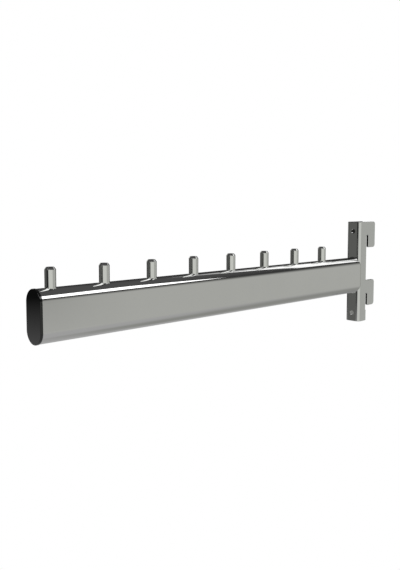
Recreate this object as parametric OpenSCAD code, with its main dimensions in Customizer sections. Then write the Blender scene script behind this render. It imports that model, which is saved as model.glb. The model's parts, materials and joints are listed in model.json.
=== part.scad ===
// Display arm for a slotted shop upright: an oval tube with a row of stop pins along its
// crown, a plug-in end cap, and a folded channel bracket whose rear hooks drop into slots.
// The origin is on the upright's face, midway between the side plates, at the height of the
// tube's axis. The arm reaches out along -Y and +Z is up.

/* [Arm] */
// Reach from the bracket's front face to the end cap's outer face
arm_reach = 300; // [180:5:450]
// Height of the oval tube
tube_h = 30; // [24:1:40]
// Width of the oval tube, which is also the diameter of its crown
tube_w = 15; // [12:0.5:20]
// Wall thickness of the tube
tube_wall = 1.5; // [1:0.1:2.5]

/* [Stop pins] */
// Distance between neighbouring pins
pin_pitch = 35; // [14:1:40]
// Distance from the end cap's outer face to the first pin's axis
pin_first = 10.6; // [8:0.1:20]
// Diameter of a pin
pin_d = 6.25; // [4:0.05:8]
// Height of a pin above the crown of the tube
pin_rise = 11.1; // [6:0.1:25]
// Chamfer round the top of a pin
pin_chamfer = 0.9; // [0.2:0.1:1.4]
// How far down the side that cone runs
pin_chamfer_h = 1.3; // [0.2:0.1:2]
// Length of pin left inside, below the inner face of the crown
pin_tail = 1.2; // [0.8:0.1:3]
// Radial gap between a pin and its hole in the crown
pin_play = 0.02; // [0.01:0.01:0.1]

/* [End cap] */
// Thickness of the cap's flange
cap_flange = 1.5; // [1:0.1:3]
// Rounding of the flange's outer rim
cap_round = 0.4; // [0.2:0.05:0.8]
// How far the flange stands proud of the tube all round
cap_lip = 0.2; // [0.1:0.05:0.6]
// Length of the plug inside the tube
plug_len = 13; // [8:0.5:25]
// Wall thickness of the hollow plug
plug_wall = 1.4; // [1:0.1:2]
// Thickness of the gripping ribs
rib_t = 1.2; // [0.8:0.1:1.6]
// How far a rib bites into the tube's inner face
rib_bite = 0.05; // [0.02:0.01:0.15]
// Clearance between the plug and the pins' tails
plug_clear = 0.5; // [0.3:0.1:1]

/* [Bracket channel] */
// Thickness of the folded sheet
sheet_t = 2; // [1.2:0.1:2.5]
// Outside width across the two side plates
channel_w = 13.4; // [12:0.2:20]
// Depth from the front face to the rear edges that bear on the upright
channel_d = 10.3; // [8:0.1:20]
// Outside radius of the two folds
fold_r = 3.2; // [2.6:0.1:5]
// Height of the bracket above the tube's axis
bracket_up = 45.3; // [42:0.1:60]
// Height of the bracket below the tube's axis
bracket_down = 39.5; // [36:0.5:60]
// Height of the heel at the foot of the rear edges
heel_h = 9.2; // [5:0.1:10]
// How far the heel stands proud of the rear edges
heel_proud = 0.8; // [0.2:0.1:1.5]

/* [Slot hooks] */
// Distance between the upper and lower hook seats, to suit the upright's slots
hook_pitch = 50; // [40:1:50]
// Height of the neck that passes through a slot
neck_h = 11.1; // [8:0.1:12]
// Length of a hook's leg below its seat
leg_drop = 10.8; // [6:0.1:12]
// Width of a hook's leg
leg_w = 10.1; // [6:0.1:12]
// Gap between the leg and the rear edge, to suit the upright's wall
slot_gap = 2.9; // [1.8:0.1:4]
// Rounding of a hook's outer top corner
hook_top_r = 2.2; // [0.5:0.1:2.5]
// Rounding of a hook's outer bottom corner
hook_foot_r = 2.6; // [1:0.1:3]
// Rounding of a hook's inner bottom corner
hook_lip_r = 1; // [0.5:0.1:1.5]

/* [Front holes] */
// Diameter of the two holes in the front face
hole_d = 3.8; // [3:0.1:4.5]
// Distance between the two holes
hole_pitch = 70; // [60:1:76]
// Distance from the bracket's top edge to the upper hole
hole_inset = 7.9; // [5:0.1:12]

/* [Welds] */
// Leg of the fillets at the tube's crown and underside
fillet_leg = 0.9; // [0.5:0.1:1.4]
// Width of the tube end that each side weld covers
side_weld_w = 2.6; // [1.5:0.1:3]
// Length of each side weld along the tube's flat side
side_weld_h = 18; // [10:1:22]
// How far each side weld runs back along the fold
side_weld_run = 2.6; // [1.6:0.1:3]

/* [Hidden] */
$fn = 96;
eps = 0.01;
pin_count = 8;
crown_r = tube_w / 2;
flat_h = tube_h - tube_w;
front_y = -channel_d;
cap_face_y = front_y - arm_reach;
cap_r = crown_r + cap_lip;
tube_end_y = cap_face_y + cap_flange;
tube_len = front_y - tube_end_y;
crown_z = tube_h / 2;
pin_low_z = crown_z - tube_wall - pin_tail;
pin_top_z = crown_z + pin_rise;
plug_inset = pin_tail + plug_clear;
plug_h = tube_h - 2 * (tube_wall + plug_inset);
plug_w = tube_w - 2 * (tube_wall + plug_inset);
rib_reach = tube_w / 2 - tube_wall + rib_bite;
seat_top_z = bracket_up - neck_h;
hook_back_y = slot_gap + leg_w;
plate_x = channel_w / 2 - sheet_t;
weld_arc = asin(min(0.9, (channel_w / 2 - fold_r) / crown_r));
function pin_y(i) = cap_face_y + pin_first + i * pin_pitch;
assert(pin_y(pin_count - 1) + pin_d / 2 < front_y, "the last pin runs into the bracket");

// Upright oval with straight sides and half-round ends, w wide and h high.
module oval(w, h) {
    for (s = [-1, 1])
        translate([0, s * (h - w) / 2]) circle(d = w);
    square([w, h - w], center = true);
}

// Drawing in the XZ plane, pulled along +Y from y by length.
module along_y(y, length) {
    translate([0, y + length, 0]) rotate([90, 0, 0]) linear_extrude(height = length) children();
}

module arm_tube() {
    color("silver") difference() {
        along_y(tube_end_y, tube_len) difference() {
            oval(tube_w, tube_h);
            oval(tube_w - 2 * tube_wall, tube_h - 2 * tube_wall);
        }
        for (i = [0 : pin_count - 1])
            translate([0, pin_y(i), 0]) cylinder(d = pin_d + 2 * pin_play, h = tube_h);
    }
}

// Press-in cap: a flange a little proud of the tube, and a hollow plug gripped by ribs.
module end_cap() {
    color("black") union() {
        for (s = [-1, 1])
            translate([0, cap_face_y, s * flat_h / 2]) rotate([-90, 0, 0])
                rotate_extrude() rim_profile();
        translate([0, cap_face_y, -flat_h / 2]) linear_extrude(height = flat_h)
            for (s = [0, 1]) mirror([s, 0]) rim_profile();
        along_y(tube_end_y - eps, plug_len) difference() {
            oval(plug_w, plug_h);
            oval(plug_w - 2 * plug_wall, plug_h - 2 * plug_wall);
        }
        plug_ribs();
    }
}

// Half section of the flange, from its axis out to the rounded rim.
module rim_profile() {
    r = cap_r - cap_round;
    polygon(concat(
        [[0, 0]],
        [for (a = [0 : 15 : 90]) [r + cap_round * sin(a), cap_round * (1 - cos(a))]],
        [[cap_r, cap_flange], [0, cap_flange]]
    ));
}

// Side ribs run the plug's whole length; the lower rib bears on the tube's underside.
module plug_ribs() {
    inner = plug_w / 2 - plug_wall / 2;
    for (s = [-1, 1], z = [-flat_h / 4, flat_h / 4])
        along_y(tube_end_y - eps, plug_len)
            translate([s * (inner + rib_reach) / 2, z])
                square([rib_reach - inner, rib_t], center = true);
    low = tube_h / 2 - tube_wall;
    along_y(tube_end_y - eps, plug_len)
        translate([-rib_t / 2, -low]) square([rib_t, low - plug_h / 2 + plug_wall / 2]);
}

// Round pin, chamfered on top, standing through a hole in the crown.
module stop_pin(i) {
    r = pin_d / 2;
    color("gainsboro") translate([0, pin_y(i), 0]) rotate_extrude()
        polygon([
            [0, pin_low_z], [r, pin_low_z], [r, pin_top_z - pin_chamfer_h],
            [r - pin_chamfer, pin_top_z], [0, pin_top_z]
        ]);
}

// Plan of the folded channel, seen from above, with its open side at y = 0.
module channel_plan() {
    difference() {
        channel_block();
        translate([0, sheet_t]) offset_block();
    }
}

// Outer plan of the channel as one filled block.
module channel_block() {
    w = channel_w / 2 - fold_r;
    for (s = [-1, 1])
        translate([s * w, front_y + fold_r]) circle(r = fold_r);
    translate([-w, front_y]) square([2 * w, channel_d]);
    translate([-channel_w / 2, front_y + fold_r]) square([channel_w, channel_d - fold_r]);
}

// Hollow of the channel, with the folds' inside radius; it runs on past the rear edges.
module offset_block() {
    r = fold_r - sheet_t;
    w = plate_x - r;
    for (s = [-1, 1])
        translate([s * w, front_y + r]) circle(r = r);
    translate([-w, front_y]) square([2 * w, channel_d]);
    translate([-plate_x, front_y + r]) square([2 * plate_x, channel_d]);
}

// Rear profile of one hook in the YZ plane, with its seat at z = 0.
module hook_profile() {
    difference() {
        rounded_leg();
        translate([0, -leg_drop - 1]) square([slot_gap, leg_drop + 1 - slot_gap / 2]);
        translate([slot_gap / 2, -slot_gap / 2]) circle(d = slot_gap);
    }
}

// Solid blank of a hook before its notch is cut, rounded at its three free corners.
module rounded_leg() {
    difference() {
        translate([-sheet_t, -leg_drop]) square([hook_back_y + sheet_t, leg_drop + neck_h]);
        corner_cut(hook_back_y, neck_h, 180, hook_top_r);
        corner_cut(hook_back_y, -leg_drop, 90, hook_foot_r);
        corner_cut(slot_gap, -leg_drop, 0, hook_lip_r);
        translate([-sheet_t - 1, -leg_drop - 1]) square([sheet_t + 1, leg_drop + 1]);
    }
}

// What a radius r takes off a corner at (y, z); at turn 0 the corner points to -Y and -Z.
module corner_cut(y, z, turn, r) {
    translate([y, z]) rotate(turn)
        difference() {
            translate([-1, -1]) square(r + 1);
            translate([r, r]) circle(r = r);
        }
}

// Drawing in the YZ plane, made into both side plates.
module side_plates() {
    for (x = [-channel_w / 2, plate_x])
        translate([x, 0, 0]) rotate([90, 0, 90]) linear_extrude(height = sheet_t) children();
}

module hook_bracket() {
    color("lightgray") difference() {
        union() {
            translate([0, 0, -bracket_down])
                linear_extrude(height = bracket_up + bracket_down) channel_plan();
            side_plates() union() {
                for (z = [seat_top_z, seat_top_z - hook_pitch])
                    translate([0, z]) hook_profile();
                translate([-sheet_t, -bracket_down]) square([sheet_t + heel_proud, heel_h]);
            }
        }
        for (z = [bracket_up - hole_inset, bracket_up - hole_inset - hole_pitch])
            translate([0, front_y - 1, z]) rotate([-90, 0, 0])
                cylinder(d = hole_d, h = sheet_t + 2);
    }
}

// Weld that fills the groove between the tube's end wall and one fold; s is its side.
module side_weld(s) {
    outer = crown_r - 0.2;
    color("gray") translate([0, 0, -side_weld_h / 2])
        linear_extrude(height = side_weld_h) mirror([s < 0 ? 1 : 0, 0]) difference() {
            polygon([
                [outer - side_weld_w, front_y], [outer, front_y],
                [channel_w / 2, front_y + side_weld_run],
                [outer - side_weld_w, front_y + side_weld_run]
            ]);
            channel_block();
        }
}

// Fillet where the tube's crown or underside meets the bracket's flat front; s is its side.
module end_weld(s) {
    color("gray") translate([0, front_y, s * flat_h / 2]) rotate([90, 0, 0])
        rotate([0, 0, s * 90 - weld_arc]) rotate_extrude(angle = 2 * weld_arc)
            polygon([
                [crown_r, 0], [crown_r + fillet_leg, 0], [crown_r, fillet_leg]
            ]);
}

arm_tube();
end_cap();
hook_bracket();
stop_pin(0);  // stop_pin_1
stop_pin(1);  // stop_pin_2
stop_pin(2);  // stop_pin_3
stop_pin(3);  // stop_pin_4
stop_pin(4);  // stop_pin_5
stop_pin(5);  // stop_pin_6
stop_pin(6);  // stop_pin_7
stop_pin(7);  // stop_pin_8
side_weld(-1);  // weld_left
side_weld(1);  // weld_right
end_weld(1);  // weld_top
end_weld(-1);  // weld_bottom
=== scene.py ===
"""Chrome display arm for a slotted shop upright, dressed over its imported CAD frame.

The arm reaches out along -Y from the upright's face at y = 0, and +Z is up. Every visible
piece is a surface worked out with numpy from the frame's own boxes and a few sizes in mm.
"""
import json
import math

import bpy
import numpy as np
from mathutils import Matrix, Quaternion, Vector
from mathutils.geometry import delaunay_2d_cdt

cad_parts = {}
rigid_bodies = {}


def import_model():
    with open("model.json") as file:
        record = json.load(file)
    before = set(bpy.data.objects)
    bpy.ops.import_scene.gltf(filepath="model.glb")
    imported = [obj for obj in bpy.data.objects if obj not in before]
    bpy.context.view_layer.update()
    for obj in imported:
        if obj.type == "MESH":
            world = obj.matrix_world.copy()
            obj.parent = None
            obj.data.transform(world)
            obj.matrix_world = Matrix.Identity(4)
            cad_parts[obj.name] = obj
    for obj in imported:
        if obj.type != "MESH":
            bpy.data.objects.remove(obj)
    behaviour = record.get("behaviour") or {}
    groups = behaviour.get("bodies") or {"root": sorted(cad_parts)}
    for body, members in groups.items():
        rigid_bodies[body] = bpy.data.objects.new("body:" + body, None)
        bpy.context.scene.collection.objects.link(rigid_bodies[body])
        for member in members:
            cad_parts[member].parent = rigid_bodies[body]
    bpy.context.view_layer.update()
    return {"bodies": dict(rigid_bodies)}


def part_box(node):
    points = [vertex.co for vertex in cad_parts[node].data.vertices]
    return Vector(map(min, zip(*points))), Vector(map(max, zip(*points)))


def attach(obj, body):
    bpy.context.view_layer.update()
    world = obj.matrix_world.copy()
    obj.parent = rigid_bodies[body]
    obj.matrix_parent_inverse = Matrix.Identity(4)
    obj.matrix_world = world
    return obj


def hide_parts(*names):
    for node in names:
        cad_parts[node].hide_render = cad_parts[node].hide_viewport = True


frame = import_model()

MM = 0.001
BODY = next(iter(frame["bodies"]))

# Sizes read from the frame, in mm.
tube_low, tube_high = (np.array(corner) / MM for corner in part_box("arm_tube"))
cap_low, cap_high = (np.array(corner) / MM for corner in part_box("end_cap"))
plate_low, plate_high = (np.array(corner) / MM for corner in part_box("hook_bracket"))
CROWN_R = (tube_high[0] - tube_low[0]) / 2
FLAT_HALF = (tube_high[2] - tube_low[2]) / 2 - CROWN_R
FRONT_Y = tube_high[1]

# Sizes that a box can't give, in mm, as the CAD part has them.
TUBE_WALL = 1.5
PIN_CHAMFER = 0.9
PIN_CHAMFER_H = 1.3
CAP_RIM_R = 0.4
PLUG_R = 4.3
PLUG_WALL = 1.4
SHEET = 2.0
FOLD_R = 3.2
HEEL_H = 9.2
HEEL_PROUD = 0.8
HOOK_PITCH = 50.0
NECK_H = 11.1
LEG_DROP = 10.8
SLOT_GAP = 2.9
HOOK_TOP_R = 2.2
HOOK_FOOT_R = 2.6
HOOK_LIP_R = 1.0
HOLE_R = 1.9
HOLE_PITCH = 70.0
HOLE_INSET = 7.9

# Roundings and weld beads that only this model has, in mm.
SHEET_EDGE_R = 0.35
HOLE_EDGE_R = 0.12
TUBE_EDGE_R = 0.15
PIN_EDGE_R = 0.15
PIN_SIDE_TOP = 3
PIN_FILLET = 0.25
HEEL_R = 0.6
HEEL_INNER_R = 0.2
LEDGE_R = 0.8
END_BEAD_R = 0.5
BEAD_LIFT = 0.1
SIDE_BEAD_HALF = 12.5
SIDE_BEAD_INSET = 0.78
SIDE_BEAD_BACK = 1.1
SIDE_BEAD_SIZE = (1.4, 0.5)
SIDE_BEAD_LEAN = (0.276, 0.961)
BEAD_SIDES = 24

# Distances between marks in the finishes, in mm.
POLISH_LINE = 0.6
HAZE_PATCH = 24
PLASTIC_GRAIN = 0.35
PLASTIC_GRAIN_DEPTH = 0.004
PLASTIC_FLOW = 9

# Where the channel's dull inside, partly painted shade, begins and deepens, in mm.
RECESS_FADE = 0.25
RECESS_MARGIN = 0.15
RECESS_LOW = -32
RECESS_HIGH = -10


# ---------------------------------------------------------------- surfaces

def weld_points(points, normals, faces):
    """Joins points that lie within a tenth of a micron and points the faces at the joined ones;
    make_piece drops the faces that this closes up.
    """
    keys = np.round(points * 1e4).astype(np.int64)
    _, first, index = np.unique(keys, axis=0, return_index=True, return_inverse=True)
    faces = index.reshape(-1)[faces]
    return points[first], normals[first], faces


def make_piece(name, points, normals, faces, material, slot, nodes):
    """A smooth mesh with its own normals, riding on the arm and standing for CAD nodes."""
    points, normals, faces = weld_points(points, normals, faces)
    corners = points[faces]
    cross = np.cross(corners[:, 1] - corners[:, 0], corners[:, 2] - corners[:, 0])
    cross += np.cross(corners[:, 2] - corners[:, 0], corners[:, -1] - corners[:, 0])
    inward = np.sum(cross * normals[faces].mean(axis=1), axis=1) < 0
    faces[inward] = faces[inward][:, ::-1]
    lists = [list(dict.fromkeys(face)) for face in faces.tolist()]
    lists = [face for face in lists if len(face) > 2]
    mesh = bpy.data.meshes.new(name)
    mesh.from_pydata((points * MM).tolist(), [], lists)
    mesh.polygons.foreach_set("use_smooth", np.ones(len(lists), bool))
    mesh.update()
    lengths = np.linalg.norm(normals, axis=1, keepdims=True)
    mesh.normals_split_custom_set_from_vertices((normals / lengths).tolist())
    mesh.materials.append(material)
    piece = bpy.data.objects.new(name, mesh)
    bpy.context.scene.collection.objects.link(piece)
    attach(piece, BODY)
    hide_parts(*nodes)


def grid_faces(rows, columns, wrap_rows, wrap_columns, start=0):
    """Quads of a rows x columns grid of points, closed round either way where asked."""
    i = np.arange(rows if wrap_rows else rows - 1)[:, None]
    j = np.arange(columns if wrap_columns else columns - 1)[None, :]
    here, right = i * columns + j, i * columns + (j + 1) % columns
    below, across = (i + 1) % rows * columns + j, (i + 1) % rows * columns + (j + 1) % columns
    return start + np.stack([here, right, across, below], axis=-1).reshape(-1, 4)


def rounded_path(corners, radii, closed=True, step=9.0):
    """A path of straight runs whose corners are arcs of the given radii.

    Returns its points and the normals on its right-hand side. An arc is its centre plus or
    minus the radius times a normal that turns evenly from one run's to the next one's.
    """
    corners = np.asarray(corners, float)
    points, normals = [], []
    count = len(corners)
    for i in range(count):
        b = corners[i]
        before, after = b - corners[i - 1], corners[(i + 1) % count] - b
        if not closed and i == 0:
            before = after
        if not closed and i == count - 1:
            after = before
        u, v = before / np.hypot(*before), after / np.hypot(*after)
        angle = math.atan2(u[0] * v[1] - u[1] * v[0], u @ v)
        side, radius = np.sign(angle), radii[i]
        turns = 1 if abs(angle) < 1e-6 else 2 + int(abs(math.degrees(angle)) / step)
        a = math.atan2(-u[0], u[1]) + np.linspace(0, angle, turns)
        normal = np.stack([np.cos(a), np.sin(a)], axis=1)
        start = b - u * radius * math.tan(abs(angle) / 2)
        points.append(start + radius * side * (normal - normal[0]))
        normals.append(normal)
    return np.concatenate(points), np.concatenate(normals)


def oval_path(arc_steps=96, flat_steps=12):
    """Spine heights and outward directions round an upright oval with half-round ends."""
    a = np.linspace(0, np.pi, arc_steps + 1)
    t = np.linspace(0, 1, flat_steps + 1)[1:-1]
    upper, flat = np.full(arc_steps + 1, FLAT_HALF), FLAT_HALF * (1 - 2 * t)
    spine = np.concatenate([upper, flat, -upper, -flat])
    turn = np.concatenate([a, np.full(t.size, np.pi), a + np.pi, np.zeros(t.size)])
    return spine, np.stack([np.cos(turn), np.sin(turn)], axis=1)


def carry_round_oval(profile, profile_normals, closed):
    """A (radius, y) profile carried round the oval: spine point plus radius times direction."""
    spine, out = oval_path()
    r, y = profile[:, 0], profile[:, 1]
    shape = (len(spine), len(r))
    x = out[:, :1] * r
    z = spine[:, None] + out[:, 1:] * r
    points = np.stack([x, np.broadcast_to(y, shape), z], axis=-1)
    nr, ny = profile_normals[:, 0], profile_normals[:, 1]
    normals = np.stack([out[:, :1] * nr, np.broadcast_to(ny, shape), out[:, 1:] * nr], axis=-1)
    return points.reshape(-1, 3), normals.reshape(-1, 3), grid_faces(*shape, True, closed)


# ---------------------------------------------------------------- materials

def linear(code):
    """An sRGB hex colour as linear RGBA."""
    parts = np.array([int(code[i:i + 2], 16) for i in (1, 3, 5)]) / 255
    parts = np.where(parts <= 0.04045, parts / 12.92, ((parts + 0.055) / 1.055) ** 2.4)
    return (*parts.tolist(), 1.0)


def add_node(tree, kind, values=None, links=None, **settings):
    """Adds a node, sets its options and its sockets' values, and links sockets into it."""
    node = tree.nodes.new(kind)
    for name, value in settings.items():
        setattr(node, name, value)
    for name, value in (values or {}).items():
        node.inputs[name].default_value = value
    for name, socket in (links or {}).items():
        tree.links.new(socket, node.inputs[name])
    return node


def new_material(name):
    """An empty node material with its output node."""
    material = bpy.data.materials.new(name)
    material.use_nodes = True
    tree = material.node_tree
    tree.nodes.clear()
    return material, tree, tree.nodes.new("ShaderNodeOutputMaterial")


def chrome_plate(name, light, dark, roughness, grain, wave_mm, wave_depth_mm, recess=None):
    """Bright decorative chrome over polished steel.

    The plate is a nearly neutral mirror. Polishing leaves fine lines along grain, which only
    vary the gloss, and the steel under it is never quite flat, which bends reflections.
    A recess is given in mm as half width, front and the two heights between which it deepens.
    Its finish is chosen for its look: a dull grey that darkens upwards, partly the thin plating
    a recess gets and partly painted shade.
    """
    material, tree, output = new_material(name)
    place = add_node(tree, "ShaderNodeTexCoord").outputs["Object"]
    stretched = add_node(tree, "ShaderNodeMapping", {"Scale": grain}, {"Vector": place})
    lines = add_node(tree, "ShaderNodeTexNoise",
                     {"Scale": 1 / (POLISH_LINE * MM), "Detail": 3},
                     {"Vector": stretched.outputs["Vector"]})
    haze = add_node(tree, "ShaderNodeTexNoise", {"Scale": 1 / (HAZE_PATCH * MM), "Detail": 4},
                    {"Vector": place})
    both = add_node(tree, "ShaderNodeMath", links={0: lines.outputs["Fac"],
                    1: haze.outputs["Fac"]}, operation="MULTIPLY")
    gloss = add_node(tree, "ShaderNodeMapRange",
                     {"From Min": 0.12, "From Max": 0.42, "To Min": roughness * 0.6,
                      "To Max": roughness * 1.6}, {"Value": both.outputs["Value"]})
    tint = add_node(tree, "ShaderNodeMix", {"A": linear(dark), "B": linear(light)},
                    {"Factor": haze.outputs["Fac"]}, data_type="RGBA")
    wave = add_node(tree, "ShaderNodeTexNoise", {"Scale": 1 / (wave_mm * MM), "Detail": 1},
                    {"Vector": place})
    bump = add_node(tree, "ShaderNodeBump", {"Strength": 1.0, "Distance": wave_depth_mm * MM},
                    {"Height": wave.outputs["Fac"]})
    colour, rough = tint.outputs["Result"], gloss.outputs["Result"]
    if recess:
        inside = recess_dull_and_shade_mask(tree, place, *recess)
        # The dull grey stands partly for thin plating and partly for painted shade in the channel.
        colour = add_node(tree, "ShaderNodeMix", {"B": linear("#4A4A49")},
                          {"Factor": inside, "A": colour}, data_type="RGBA").outputs["Result"]
        rough = add_node(tree, "ShaderNodeMix", {"B": 0.5}, {"Factor": inside, "A": rough})
        rough = rough.outputs["Result"]
    shader = add_node(tree, "ShaderNodeBsdfPrincipled", {"Metallic": 1.0},
                      {"Base Color": colour, "Roughness": rough,
                       "Normal": bump.outputs["Normal"]})
    tree.links.new(shader.outputs["BSDF"], output.inputs["Surface"])
    return material


def recess_dull_and_shade_mask(tree, place, half_width, front, low, high):
    """1 inside the channel: nearer its middle plane than half_width and behind front.

    It falls to a half as the height goes down from high to low. The mask carries the dull
    plating and the painted shade inside the channel.
    """
    split = add_node(tree, "ShaderNodeSeparateXYZ", links={"Vector": place})
    off_centre = add_node(tree, "ShaderNodeMath", links={0: split.outputs["X"]},
                          operation="ABSOLUTE")
    between = add_node(tree, "ShaderNodeMapRange",
                       {"From Min": (half_width + RECESS_FADE) * MM,
                        "From Max": half_width * MM},
                       {"Value": off_centre.outputs["Value"]})
    behind = add_node(tree, "ShaderNodeMapRange",
                      {"From Min": (front - RECESS_FADE) * MM, "From Max": front * MM},
                      {"Value": split.outputs["Y"]})
    both = add_node(tree, "ShaderNodeMath", links={0: between.outputs["Result"],
                    1: behind.outputs["Result"]}, operation="MULTIPLY")
    deep = add_node(tree, "ShaderNodeMapRange",
                    {"From Min": low * MM, "From Max": high * MM, "To Min": 0.5},
                    {"Value": split.outputs["Z"]})
    faded = add_node(tree, "ShaderNodeMath", links={0: both.outputs["Value"],
                     1: deep.outputs["Result"]}, operation="MULTIPLY")
    return faded.outputs["Value"]


def moulded_black_plastic():
    """Injection-moulded black ABS: a clean gloss, slightly uneven, over a very fine grain."""
    material, tree, output = new_material("black_moulded_abs")
    place = add_node(tree, "ShaderNodeTexCoord").outputs["Object"]
    grain = add_node(tree, "ShaderNodeTexNoise", {"Scale": 1 / (PLASTIC_GRAIN * MM), "Detail": 2},
                     {"Vector": place})
    flow = add_node(tree, "ShaderNodeTexNoise", {"Scale": 1 / (PLASTIC_FLOW * MM), "Detail": 3},
                    {"Vector": place})
    gloss = add_node(tree, "ShaderNodeMapRange", {"To Min": 0.03, "To Max": 0.05},
                     {"Value": flow.outputs["Fac"]})
    tint = add_node(tree, "ShaderNodeMix", {"A": linear("#030303"), "B": linear("#070706")},
                    {"Factor": flow.outputs["Fac"]}, data_type="RGBA")
    bump = add_node(tree, "ShaderNodeBump", {"Strength": 0.5, "Distance": PLASTIC_GRAIN_DEPTH * MM},
                    {"Height": grain.outputs["Fac"]})
    shader = add_node(tree, "ShaderNodeBsdfPrincipled", {"IOR": 1.55},
                      {"Base Color": tint.outputs["Result"],
                       "Roughness": gloss.outputs["Result"], "Normal": bump.outputs["Normal"]})
    tree.links.new(shader.outputs["BSDF"], output.inputs["Surface"])
    return material


# Polishing lines run the tube's length, round the pins and down the bracket.
tube_chrome = chrome_plate("chrome_on_drawn_tube", "#D8D8D7", "#D2D2D1", 0.05,
                           (1, 0.02, 1), 14, 0.002)
pin_chrome = chrome_plate("chrome_on_turned_pin", "#D8D9D7", "#D0D1CF", 0.06,
                          (0.1, 0.1, 1), 5, 0.001)
# The folded sheet's channel inside gets a dull grey with painted shade, darker upwards.
plate_chrome = chrome_plate("chrome_on_folded_sheet", "#D4D5D4", "#CCCDCC", 0.09,
                            (1, 1, 0.05), 11, 0.002,
                            (plate_high[0] - SHEET + RECESS_MARGIN,
                             FRONT_Y + SHEET - RECESS_MARGIN, RECESS_LOW, RECESS_HIGH))
weld_chrome = chrome_plate("chrome_on_dressed_weld", "#CFD0CC", "#C4C5C1", 0.16,
                           (1, 1, 1), 1.2, 0.03)
cap_plastic = moulded_black_plastic()


# ---------------------------------------------------------------- tube and cap

def make_tube():
    """The wall's section, a long rectangle with eased corners, carried round the oval."""
    inner = CROWN_R - TUBE_WALL
    rows = 41
    y = np.linspace(tube_low[1], FRONT_Y, rows)
    outer_run = [(CROWN_R, v) for v in y]
    inner_run = [(inner, v) for v in y[::-1]]
    corners = outer_run + inner_run
    radii = [0.0] * len(corners)
    for i in (0, rows - 1, rows, 2 * rows - 1):
        radii[i] = TUBE_EDGE_R
    profile, normals = rounded_path(corners, radii)
    make_piece("chrome_tube", *carry_round_oval(profile, normals, True), tube_chrome,
               "plated_tube", ["arm_tube"])


def make_cap():
    """The cap's half section carried round the oval: face, rim, flange, plug and hollow."""
    face, back, rim = cap_low[1], tube_low[1], cap_high[0]
    end, wall = cap_high[1], PLUG_R - PLUG_WALL
    corners = [
        (0, face), (rim * 0.5, face), (rim, face), (rim, back), (PLUG_R, back), (PLUG_R, end),
        (wall, end), (wall, back), (0, back)
    ]
    radii = [0, 0, CAP_RIM_R, 0.1, 0.2, 0.3, 0.3, 0.5, 0]
    profile, normals = rounded_path(corners, radii, closed=False)
    make_piece("cap_moulding", *carry_round_oval(profile, normals, False), cap_plastic,
               "black_cap", ["end_cap"])


# ---------------------------------------------------------------- stop pins

def crown_height(x):
    """Height of the tube's outer surface above its axis, at x across the crown."""
    return FLAT_HALF + np.sqrt(CROWN_R ** 2 - x ** 2)


def make_pin(node):
    """A turned pin: a (radius, height) profile spun round, whose foot follows the crown.

    The profile runs from the top's centre over the chamfer and down the side. It ends in a
    small hollow fillet of plate, a quarter circle that turns out onto the crown.
    """
    low, high = (np.array(corner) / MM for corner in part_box(node))
    r, top = (high[0] - low[0]) / 2, high[2]
    centre = (low + high) / 2
    head, head_n = rounded_path(
        [(0, top), (r - PIN_CHAMFER, top), (r, top - PIN_CHAMFER_H),
         (r, top - PIN_SIDE_TOP)],
        [0, PIN_EDGE_R, PIN_EDGE_R, 0], closed=False)
    head_n = -head_n
    a = np.radians(np.linspace(0, 90, 9))
    foot_r = r + PIN_FILLET * (1 - np.cos(a))
    foot_up = PIN_FILLET * (1 - np.sin(a))
    turn = np.linspace(0, 2 * np.pi, 72, endpoint=False)[:, None]
    rows = len(turn)
    rim = np.concatenate([head[:, 0], foot_r, [foot_r[-1] - 0.1, 0]])
    x, y = rim * np.cos(turn), rim * np.sin(turn)
    foot_z = crown_height(foot_r * np.cos(turn)) + foot_up
    buried = np.full((rows, 2), CROWN_R + FLAT_HALF - TUBE_WALL)
    z = np.concatenate([np.broadcast_to(head[:, 1], (rows, len(head))), foot_z, buried], axis=1)
    n_out = np.concatenate([head_n[:, 0], np.cos(a), [0, 0]])
    n_up = np.concatenate([head_n[:, 1], np.sin(a), [-1, -1]])
    lean = np.concatenate([np.zeros(len(head)), np.sin(a), [0, 0]])
    slope = lean * foot_slope(rim, turn)
    normals = np.stack([n_out * np.cos(turn) + slope, n_out * np.sin(turn),
                        np.broadcast_to(n_up, z.shape)], axis=-1)
    points = np.stack([centre[0] + x, centre[1] + y, z], axis=-1)
    faces = grid_faces(rows, len(rim), True, False)
    make_piece(node.replace("stop_pin", "turned_pin"), points.reshape(-1, 3),
               normals.reshape(-1, 3), faces, pin_chrome, "plated_pin", [node])


def foot_slope(rim, turn):
    """The crown's sideways slope, x over its height above the crown's centre line."""
    x = rim * np.cos(turn)
    return x / np.sqrt(CROWN_R ** 2 - x ** 2)


# ---------------------------------------------------------------- folded bracket

HALF_WEB = plate_high[0] - FOLD_R
MID_R = FOLD_R - SHEET / 2
FOLD_RUN = MID_R * np.pi / 2
REAR = HALF_WEB + FOLD_RUN - FRONT_Y - FOLD_R
BACK = REAR + plate_high[1]
TOP_SEAT = plate_high[2] - NECK_H


def fold_sheet(s, h):
    """Folds a flat sheet: s runs across it from the middle and h stands out from its middle.

    The web stays flat, each fold turns a quarter circle about its own centre, and the side
    plates run straight back. Returns x, y and the cosine and sine of the turn.
    """
    side, run = np.sign(s), np.abs(s)
    turn = np.clip((run - HALF_WEB) / FOLD_RUN, 0, 1) * np.pi / 2
    cos, sin = np.cos(turn), np.sin(turn)
    x = side * (np.minimum(run, HALF_WEB) + (MID_R + h) * sin)
    y = FRONT_Y + SHEET / 2 + MID_R - (MID_R + h) * cos
    y = y + np.maximum(run - HALF_WEB - FOLD_RUN, 0)
    return x, y, cos, side * sin


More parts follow.
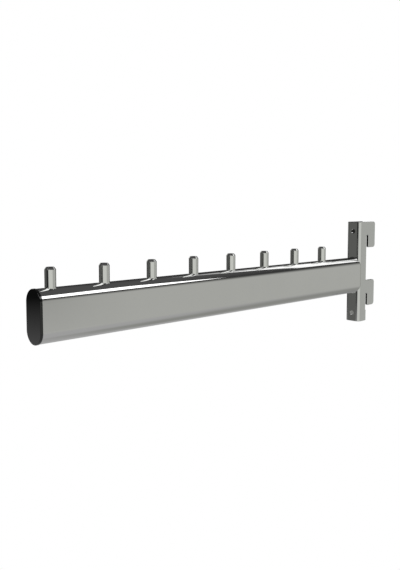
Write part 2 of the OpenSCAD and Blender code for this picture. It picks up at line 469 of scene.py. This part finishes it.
def hook_corners(seat):
    """Corners and radii of one hook on the right-hand plate, from its notch to its top."""
    foot, top = seat - LEG_DROP, seat + NECK_H
    inner, leg = REAR + SLOT_GAP, BACK
    notch_r = SLOT_GAP / 2 - 0.01
    corners = [(REAR, seat), (inner, seat), (inner, foot), (leg, foot), (leg, top)]
    return corners, [notch_r, notch_r, HOOK_LIP_R, HOOK_FOOT_R, HOOK_TOP_R]


def sheet_outline():
    """The flat sheet's outline, counter-clockwise from the middle of its bottom edge."""
    bottom, top = plate_low[2], plate_high[2]
    folds = HALF_WEB + FOLD_RUN * np.linspace(0, 1, 13)
    heel = bottom + HEEL_H
    corners = [(s, bottom) for s in folds]
    radii = [0.0] * len(folds)
    corners += [(REAR + HEEL_PROUD, bottom), (REAR + HEEL_PROUD, heel), (REAR, heel)]
    radii += [HEEL_R, HEEL_R, HEEL_INNER_R]
    lower, lower_r = hook_corners(TOP_SEAT - HOOK_PITCH)
    upper, upper_r = hook_corners(TOP_SEAT)
    corners += lower + [(REAR, TOP_SEAT - HOOK_PITCH + NECK_H)] + upper
    radii += lower_r + [LEDGE_R] + upper_r
    corners += [(s, top) for s in folds[::-1]]
    radii += [0.0] * len(folds)
    left = [(-s, z) for s, z in corners[::-1]]
    return rounded_path(corners + left, radii + radii[::-1])


def hole_outline(z):
    """A round hole in the web, clockwise, so that the sheet lies on its left."""
    a = -np.linspace(0, 2 * np.pi, 48, endpoint=False)
    out = np.stack([np.cos(a), np.sin(a)], axis=1)
    return HOLE_R * out + (0, z), -out


def fill_sheet(loops):
    """Triangles between the loops, cut along every fold line so that the folds stay round."""
    points = np.concatenate(loops)
    starts = np.cumsum([0] + [len(loop) for loop in loops])
    edges = [(a + i, a + (i + 1) % (b - a)) for a, b in zip(starts, starts[1:])
             for i in range(b - a)]
    outline = loops[0]
    across = np.abs(outline[:, 0])
    in_fold = (across >= HALF_WEB - 1e-6) & (across <= HALF_WEB + FOLD_RUN + 1e-6)
    keys = np.round(outline[:, 0], 5)
    for key in np.unique(keys[in_fold]):
        ends = np.flatnonzero(keys == key)
        if len(ends) == 2:
            edges.append((int(ends[0]), int(ends[1])))
    result = delaunay_2d_cdt([Vector(p) for p in points], edges, [], 1, 1e-5)
    triangles = np.array(result[2])
    origin = np.array([ids[0] for ids in result[3]])
    triangles = origin[triangles]
    middle = points[triangles].mean(axis=1)
    for loop in loops[1:]:
        centre = loop.mean(axis=0)
        chord = np.hypot(*(loop[0] - centre)) * math.cos(math.pi / len(loop))
        keep = np.hypot(*(middle - centre).T) > chord - 1e-6
        triangles, middle = triangles[keep], middle[keep]
    return triangles


def sheet_rim(edge):
    """Section of a sheet edge: out from the face, round, down the edge, and round back."""
    half = SHEET / 2
    rim, normals = rounded_path([(-edge, half), (0, half), (0, -half), (-edge, -half)],
                                [0, edge, edge, 0], closed=False, step=18)
    return rim[1:-1], -normals[1:-1]


def make_bracket():
    """Folded channel with hooks: both faces of the flat sheet are filled, each edge gets a
    rounded rim carried along it, and the whole is folded by formula."""
    upper_hole = plate_high[2] - HOLE_INSET
    paths = [sheet_outline(), hole_outline(upper_hole), hole_outline(upper_hole - HOLE_PITCH)]
    flat, flat_n, faces, start = [], [], [], 0
    for (path, normal), edge in zip(paths, (SHEET_EDGE_R, HOLE_EDGE_R, HOLE_EDGE_R)):
        rim, rim_n = sheet_rim(edge)
        inward = path[:, None] + normal[:, None] * rim[None, :, :1]
        height = np.broadcast_to(rim[:, 1], inward.shape[:2])[..., None]
        flat.append(np.concatenate([inward, height], axis=-1).reshape(-1, 3))
        sideways = normal[:, None] * np.abs(rim_n[None, :, :1])
        upright = np.broadcast_to(rim_n[:, 1], inward.shape[:2])[..., None]
        flat_n.append(np.concatenate([sideways, upright], axis=-1).reshape(-1, 3))
        faces.append(grid_faces(len(path), len(rim), True, False, start))
        start += len(path) * len(rim)
    offsets = np.cumsum([0] + [len(path) * len(rim) for path, _ in paths])
    front = np.concatenate([offsets[k] + np.arange(len(path)) * len(rim)
                            for k, (path, _) in enumerate(paths)])
    triangles = fill_sheet([part[::len(rim), :2] for part in flat])
    front_faces = front[triangles]
    back_faces = front_faces[:, ::-1] + len(rim) - 1
    flat, flat_n = np.concatenate(flat), np.concatenate(flat_n)
    s, z, h = flat.T
    x, y, cos, sin = fold_sheet(s, h)
    points = np.stack([x, y, z], axis=1)
    along, up, out = flat_n.T
    normals = np.stack([along * cos + out * sin, along * sin - out * cos, up], axis=1)
    quads = np.concatenate(faces)
    triangles = np.concatenate([front_faces, back_faces])
    triangles = np.concatenate([triangles, triangles[:, -1:]], axis=1)
    make_piece("folded_bracket", points, normals, np.concatenate([quads, triangles]),
               plate_chrome, "plated_bracket", ["hook_bracket"])


# ---------------------------------------------------------------- welds

def make_bead(name, node, spine, across, size, ripples):
    """A weld bead: an ellipse carried along a spine, swelling with each ripple of the weld
    and drawn in at both ends. across is its first axis and size its two half widths."""
    t = np.linspace(0, 1, len(spine))[:, None]
    swell = 1 + 0.06 * np.abs(np.sin(np.pi * ripples * t))
    swell = swell * np.clip(np.sin(np.pi * t) * 3.2, 0, 1) ** 0.5
    along = np.gradient(spine, axis=0)
    along /= np.linalg.norm(along, axis=1, keepdims=True)
    second = np.cross(along, across)
    a = np.linspace(0, 2 * np.pi, BEAD_SIDES, endpoint=False)[None, :, None]
    cos, sin = np.cos(a), np.sin(a)
    out = across[:, None] * cos * size[0] + second[:, None] * sin * size[1]
    points = spine[:, None] + out * swell[..., None]
    normals = across[:, None] * cos / size[0] + second[:, None] * sin / size[1]
    faces = grid_faces(len(spine), BEAD_SIDES, False, True)
    make_piece(name, points.reshape(-1, 3), normals.reshape(-1, 3), faces, weld_chrome,
               "plated_weld", [node])


def make_welds():
    """Short beads at the crown and underside, and flat dressed ones down each fold."""
    span = math.asin(HALF_WEB / CROWN_R)
    for name, up in (("top", 1), ("bottom", -1)):
        a = np.linspace(-span, span, 60)
        out = np.stack([np.sin(a), np.zeros(60), up * np.cos(a)], axis=1)
        spine = out * (CROWN_R + BEAD_LIFT) + (0, FRONT_Y - BEAD_LIFT, up * FLAT_HALF)
        make_bead("bead_" + name, "weld_" + name, spine, out, (END_BEAD_R, END_BEAD_R), 7)
    for name, side in (("left", -1), ("right", 1)):
        z = np.linspace(-SIDE_BEAD_HALF, SIDE_BEAD_HALF, 160)
        past_flat = np.clip(np.abs(z) - FLAT_HALF, 0, None)
        x = crown_height(past_flat) - FLAT_HALF - SIDE_BEAD_INSET
        spine = np.stack([side * x, np.full(160, FRONT_Y + SIDE_BEAD_BACK), z], axis=1)
        inward, back = SIDE_BEAD_LEAN
        lie = np.broadcast_to((-side * inward, back, 0), (160, 3))
        make_bead("bead_" + name, "weld_" + name, spine, lie, SIDE_BEAD_SIZE, 21)


# ---------------------------------------------------------------- studio

def make_camera():
    """The camera stands off the arm's right-hand free end and looks slightly down at it."""
    data = bpy.data.cameras.new("camera")
    data.lens = 40.2
    data.shift_x = -0.0043
    data.shift_y = -0.0541
    camera = bpy.data.objects.new("camera", data)
    camera.location = (0.3037, -0.4749, 0.0589)
    camera.rotation_euler = (math.radians(90 - 4.35), 0, math.radians(46.5))
    bpy.context.scene.collection.objects.link(camera)
    bpy.context.scene.camera = camera


def aim(azimuth, elevation):
    """Unit direction at an azimuth from +X towards +Y and an elevation, in degrees."""
    a, e = math.radians(azimuth), math.radians(elevation)
    return Vector((math.cos(a) * math.cos(e), math.sin(a) * math.cos(e), math.sin(e)))


def make_softbox(name, azimuth, elevation, wide, high, radiance, tilt=0.0, distance=4.0):
    """A soft box that fills wide x high degrees, seen from the arm, with even radiance.

    Its left end, as the arm sees it, is raised by the tilt in degrees.
    """
    data = bpy.data.lights.new(name, "AREA")
    data.shape = "RECTANGLE"
    data.size = 2 * distance * math.tan(math.radians(wide / 2))
    data.size_y = 2 * distance * math.tan(math.radians(high / 2))
    data.energy = radiance * math.pi * data.size * data.size_y
    light = bpy.data.objects.new(name, data)
    direction = aim(azimuth, elevation)
    light.location = Vector((0, -0.15, 0)) + direction * distance
    turn = direction.to_track_quat("Z", "Y") @ Quaternion((0, 0, 1), math.radians(tilt))
    light.rotation_euler = turn.to_euler()
    light.visible_camera = False
    bpy.context.scene.collection.objects.link(light)


def make_room():
    """A plain studio: a grey table and a dim ceiling, with the soft cards of CARDS over them."""
    world = bpy.data.worlds.new("studio")
    world.use_nodes = True
    tree = world.node_tree
    tree.nodes.clear()
    output = tree.nodes.new("ShaderNodeOutputWorld")
    way = add_node(tree, "ShaderNodeTexCoord").outputs["Generated"]
    split = add_node(tree, "ShaderNodeSeparateXYZ", links={"Vector": way})
    turn = add_node(tree, "ShaderNodeMath", links={0: split.outputs["Y"], 1: split.outputs["X"]},
                    operation="ARCTAN2").outputs["Value"]
    rise = add_node(tree, "ShaderNodeMath", links={0: split.outputs["Z"]},
                    operation="ARCSINE").outputs["Value"]
    table = add_node(tree, "ShaderNodeMapRange",
                     {"From Min": math.radians(TABLE_END[0]),
                      "From Max": math.radians(TABLE_END[1]),
                      "To Min": TABLE, "To Max": DARK}, {"Value": rise})
    ceiling = add_node(tree, "ShaderNodeMapRange",
                       {"From Min": math.radians(CEILING_START[0]),
                        "From Max": math.radians(CEILING_START[1]),
                        "To Min": 0, "To Max": CEILING}, {"Value": rise})
    level = add_node(tree, "ShaderNodeMath", operation="ADD",
                     links={0: table.outputs["Result"], 1: ceiling.outputs["Result"]})
    level = level.outputs["Value"]
    for card in CARDS.values():
        level = lay_card(tree, level, turn, rise, *card)
    shine = add_node(tree, "ShaderNodeBackground", {"Strength": 1.0}, {"Color": level})
    tree.links.new(shine.outputs["Background"], output.inputs["Surface"])
    bpy.context.scene.world = world


def lay_card(tree, level, turn, rise, azimuth, half_width, side_fade, low, high, end_fade,
             radiance):
    """Lays a card over the studio so far: full inside its angles, fading smoothly outside."""
    centre = math.radians(azimuth)
    around = add_node(tree, "ShaderNodeMath", {1: centre + math.pi, 2: centre - math.pi},
                      {0: turn}, operation="WRAP").outputs["Value"]
    across = fade_away(tree, around, azimuth, half_width, side_fade)
    upright = fade_away(tree, rise, (low + high) / 2, (high - low) / 2, end_fade)
    cover = add_node(tree, "ShaderNodeMath", links={0: across, 1: upright},
                     operation="MULTIPLY")
    colour = (*(radiance * part for part in CARD_TINT), 1)
    return add_node(tree, "ShaderNodeMix", {"B": colour},
                    {"Factor": cover.outputs["Value"], "A": level},
                    data_type="RGBA").outputs["Result"]


def fade_away(tree, angle, middle, reach, fade):
    """1 within reach of the middle angle, falling smoothly to 0 over the fade, in degrees."""
    offset = add_node(tree, "ShaderNodeMath", {1: math.radians(middle)}, {0: angle},
                      operation="SUBTRACT").outputs["Value"]
    away = add_node(tree, "ShaderNodeMath", links={0: offset}, operation="ABSOLUTE")
    return add_node(tree, "ShaderNodeMapRange",
                    {"From Min": math.radians(reach), "From Max": math.radians(reach + fade),
                     "To Min": 1, "To Max": 0}, {"Value": away.outputs["Value"]},
                    interpolation_type="SMOOTHSTEP").outputs["Result"]


# Radiance of the studio's table, of the dark between its cards, and what its ceiling adds.
TABLE = 0.5
DARK = 0.03
CEILING = 0.07

# Elevations in degrees over which the table falls to dark and the ceiling comes in.
TABLE_END = (-12, -8)
CEILING_START = (20, 50)

# Cards of slightly warm grey paper, as factors on red, green and blue.
CARD_TINT = (0.99, 1.0, 0.95)

# The studio's cards, each laid over those before it: azimuth from +X towards +Y, half width and
# fade at the sides, lowest and highest elevation and fade at the ends, in degrees; radiance.
CARDS = {
    "arm_shade_on_table": (85, 10, 30, -50, -25, 15, 0.35),
    "left_card": (-128, 12, 10, -12, 0, 4, 0.15),
    "front_card": (-20, 40, 10, -12, 8, 8, 0.8),
    "right_card": (55, 15, 40, -12, 8, 20, 0.55),
    "rear_card": (115, 20, 20, -12, -8, 4, 0.35),
    "far_left_card": (175, 15, 10, 0, 40, 10, 0.35)
}


def make_backdrop():
    """A round white sweep seen only by the camera: a floor disc turning up into a wall."""
    radius, floor_z, bend = 9.0, -0.6, 3.0
    a = np.linspace(0, np.pi / 2, 13)
    rim = np.concatenate([[0, radius - bend], radius - bend + bend * np.sin(a), [radius, 0]])
    up = np.concatenate([[0, 0], bend * (1 - np.cos(a)), [12, 12]]) + floor_z
    turn = np.linspace(0, 2 * np.pi, 64, endpoint=False)[:, None]
    points = np.stack([rim * np.cos(turn), rim * np.sin(turn), np.broadcast_to(up, (64, 17))],
                      axis=-1)
    mesh = bpy.data.meshes.new("pale_floor")
    mesh.from_pydata(points.reshape(-1, 3).tolist(), [], grid_faces(64, 17, True, False).tolist())
    material, tree, output = new_material("white_paper_sweep")
    glow = add_node(tree, "ShaderNodeEmission", {"Color": linear("#FFFFFF"), "Strength": 1.0})
    tree.links.new(glow.outputs["Emission"], output.inputs["Surface"])
    mesh.materials.append(material)
    sweep = bpy.data.objects.new("pale_floor", mesh)
    bpy.context.scene.collection.objects.link(sweep)
    sweep.visible_glossy = False
    sweep.visible_diffuse = False
    sweep.visible_shadow = False


make_camera()
make_tube()
make_cap()
for number in range(1, 9):
    make_pin(f"stop_pin_{number}")
make_bracket()
make_welds()
make_room()
make_softbox("side_softbox", 40, 39.4, 25, 17, 2.4, 2)
make_softbox("back_softbox", 87.3, 35.6, 25, 9, 1.4, 23)
make_softbox("rear_softbox", 107, 38, 15, 14, 0.5)
make_softbox("front_softbox", -68, 44, 50, 24, 2.0)
make_backdrop()
bpy.context.scene.view_settings.view_transform = "Standard"
